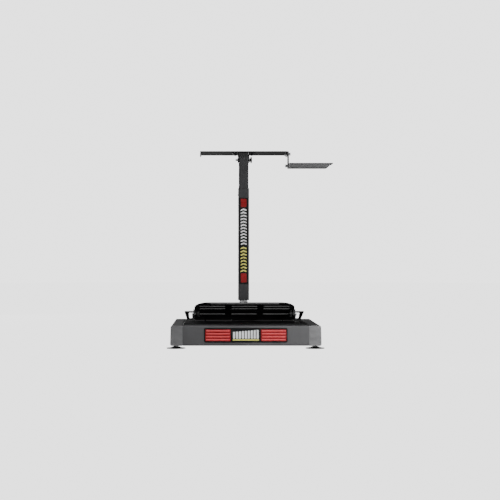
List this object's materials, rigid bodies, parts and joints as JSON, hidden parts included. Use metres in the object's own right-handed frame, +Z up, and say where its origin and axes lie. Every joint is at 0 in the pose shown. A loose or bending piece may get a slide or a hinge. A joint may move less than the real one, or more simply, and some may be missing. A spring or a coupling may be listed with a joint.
{
  "type": "steering wheel stand",
  "caption": "Steering wheel stand with a box base, slotted pedal plate, telescopic post, tilting wheel plate and shifter tray.",
  "frame": {"origin": "on the floor under the middle of the whole stand's box", "axes": "+Z up, +Y towards the driver, +X to the side of the shifter tray"},
  "size_m": [0.6618, 0.5436, 0.78],
  "materials": {
    "frame_paint": "satin dark grey powder coat",
    "deck_paint": "satin black powder coat",
    "cap_plastic": "fine grained dark grey",
    "badge_black": "gloss black",
    "badge_red": "gloss red",
    "badge_white": "white",
    "zinc_steel": "zinc plated",
    "black_steel": "black oxide",
    "foot_rubber": "matt black",
    "post_paint": "satin dark grey powder coat",
    "nylon_black": "matt black",
    "black_powder": "fine textured black powder coat",
    "tray_paint": "satin grey powder coat"
  },
  "bodies": {
    "base": {"left_rail": "frame_paint", "right_rail": "frame_paint", "front_end_caps": "cap_plastic", "rear_end_caps": "cap_plastic", "front_beam": "frame_paint", "centre_beam": "frame_paint", "rear_beam": "frame_paint", "deck_plate": "deck_paint", "badge_plate": "badge_black", "badge_panels": "badge_red", "badge_emblem": "badge_white", "foot_lock_nuts": "zinc_steel", "foot_weld_nuts": "zinc_steel", "post_foot": "zinc_steel", "post_foot_bolts": "zinc_steel", "post_collar": "zinc_steel", "outer_post": "post_paint", "post_decal": "badge_black", "outer_post_bush": "nylon_black", "height_clamp_boss": "post_paint", "pedal_quadrant_right": "black_powder", "pedal_quadrant_left": "black_powder", "pedal_hinge_lugs": "black_powder"},
    "upper_post": {"inner_post": "post_paint", "inner_post_plug": "nylon_black", "inner_post_glide": "nylon_black", "tilt_bolt": "zinc_steel", "tilt_nut": "zinc_steel", "tilt_washers": "zinc_steel"},
    "tilt_knob": {"tilt_knob": "nylon_black"},
    "wheel_mount": {"wheel_plate": "black_powder", "wheel_plate_bolts": "black_steel", "wheel_plate_nuts": "black_steel", "tilt_bracket_left": "black_powder", "tilt_bracket_right": "black_powder", "shifter_arm_bolt": "zinc_steel", "shifter_arm_nut": "zinc_steel"},
    "shifter_arm": {"shifter_arm": "tray_paint"},
    "shifter_tray": {"shifter_tray": "tray_paint", "shifter_tray_bolt": "zinc_steel", "shifter_tray_nut": "zinc_steel"},
    "height_clamp": {"height_clamp_screw": "zinc_steel", "height_clamp_knob": "nylon_black"},
    "pedal_plate": {"pedal_plate": "black_powder", "pedal_clamp_bolts": "zinc_steel", "pedal_hinge_pins": "zinc_steel"},
    "pedal_knob_right": {"pedal_clamp_knob_right": "nylon_black"},
    "pedal_knob_left": {"pedal_clamp_knob_left": "nylon_black"},
    "foot_front_left": {"foot_pad_front_left": "foot_rubber", "foot_stud_front_left": "zinc_steel"},
    "foot_front_right": {"foot_pad_front_right": "foot_rubber", "foot_stud_front_right": "zinc_steel"},
    "foot_rear_left": {"foot_pad_rear_left": "foot_rubber", "foot_stud_rear_left": "zinc_steel"},
    "foot_rear_right": {"foot_pad_rear_right": "foot_rubber", "foot_stud_rear_right": "zinc_steel"}
  },
  "joints": [
    {"name": "post_height", "type": "slide", "parent": "base", "child": "upper_post", "axis": [0, 0, 1], "range_m": [-0.08, 0.12]},
    {"name": "wheel_tilt", "type": "hinge", "parent": "upper_post", "child": "wheel_mount", "pos_m": [-0.03058, 0.1448, 0.747], "axis": [1, 0, 0], "range_deg": [-15, 30]},
    {"name": "tilt_knob_turn", "type": "hinge", "parent": "upper_post", "child": "tilt_knob", "pos_m": [-0.00057, 0.1448, 0.747], "axis": [1, 0, 0], "range_deg": [-180, 180]},
    {"name": "shifter_swing", "type": "hinge", "parent": "wheel_mount", "child": "shifter_arm", "pos_m": [0.15072, 0.1218, 0.7695], "axis": [1, 0, 0], "range_deg": [-30, 30]},
    {"name": "tray_tilt", "type": "hinge", "parent": "shifter_arm", "child": "shifter_tray", "pos_m": [0.15543, 0.1218, 0.721], "axis": [1, 0, 0], "range_deg": [-20, 20]},
    {"name": "height_clamp_turn", "type": "hinge", "parent": "base", "child": "height_clamp", "pos_m": [-0.03058, 0.1848, 0.6088], "axis": [0, 1, 0], "range_deg": [-180, 180]},
    {"name": "pedal_tilt", "type": "hinge", "parent": "base", "child": "pedal_plate", "pos_m": [-0.03058, 0.1058, 0.0979], "axis": [-1, 0, 0], "range_deg": [-9, 3]},
    {"name": "pedal_knob_right_turn", "type": "hinge", "parent": "pedal_plate", "child": "pedal_knob_right", "pos_m": [0.15643, -0.00754, 0.12265], "axis": [1, 0, 0], "range_deg": [-180, 180]},
    {"name": "pedal_knob_left_turn", "type": "hinge", "parent": "pedal_plate", "child": "pedal_knob_left", "pos_m": [-0.21757, -0.00754, 0.12265], "axis": [1, 0, 0], "range_deg": [-180, 180]},
    {"name": "foot_front_left_travel", "type": "slide", "parent": "base", "child": "foot_front_left", "axis": [0, 0, 1], "range_m": [-0.015, 0]},
    {"name": "foot_front_right_travel", "type": "slide", "parent": "base", "child": "foot_front_right", "axis": [0, 0, 1], "range_m": [-0.015, 0]},
    {"name": "foot_rear_left_travel", "type": "slide", "parent": "base", "child": "foot_rear_left", "axis": [0, 0, 1], "range_m": [-0.015, 0]},
    {"name": "foot_rear_right_travel", "type": "slide", "parent": "base", "child": "foot_rear_right", "axis": [0, 0, 1], "range_m": [-0.015, 0]}
  ]
}
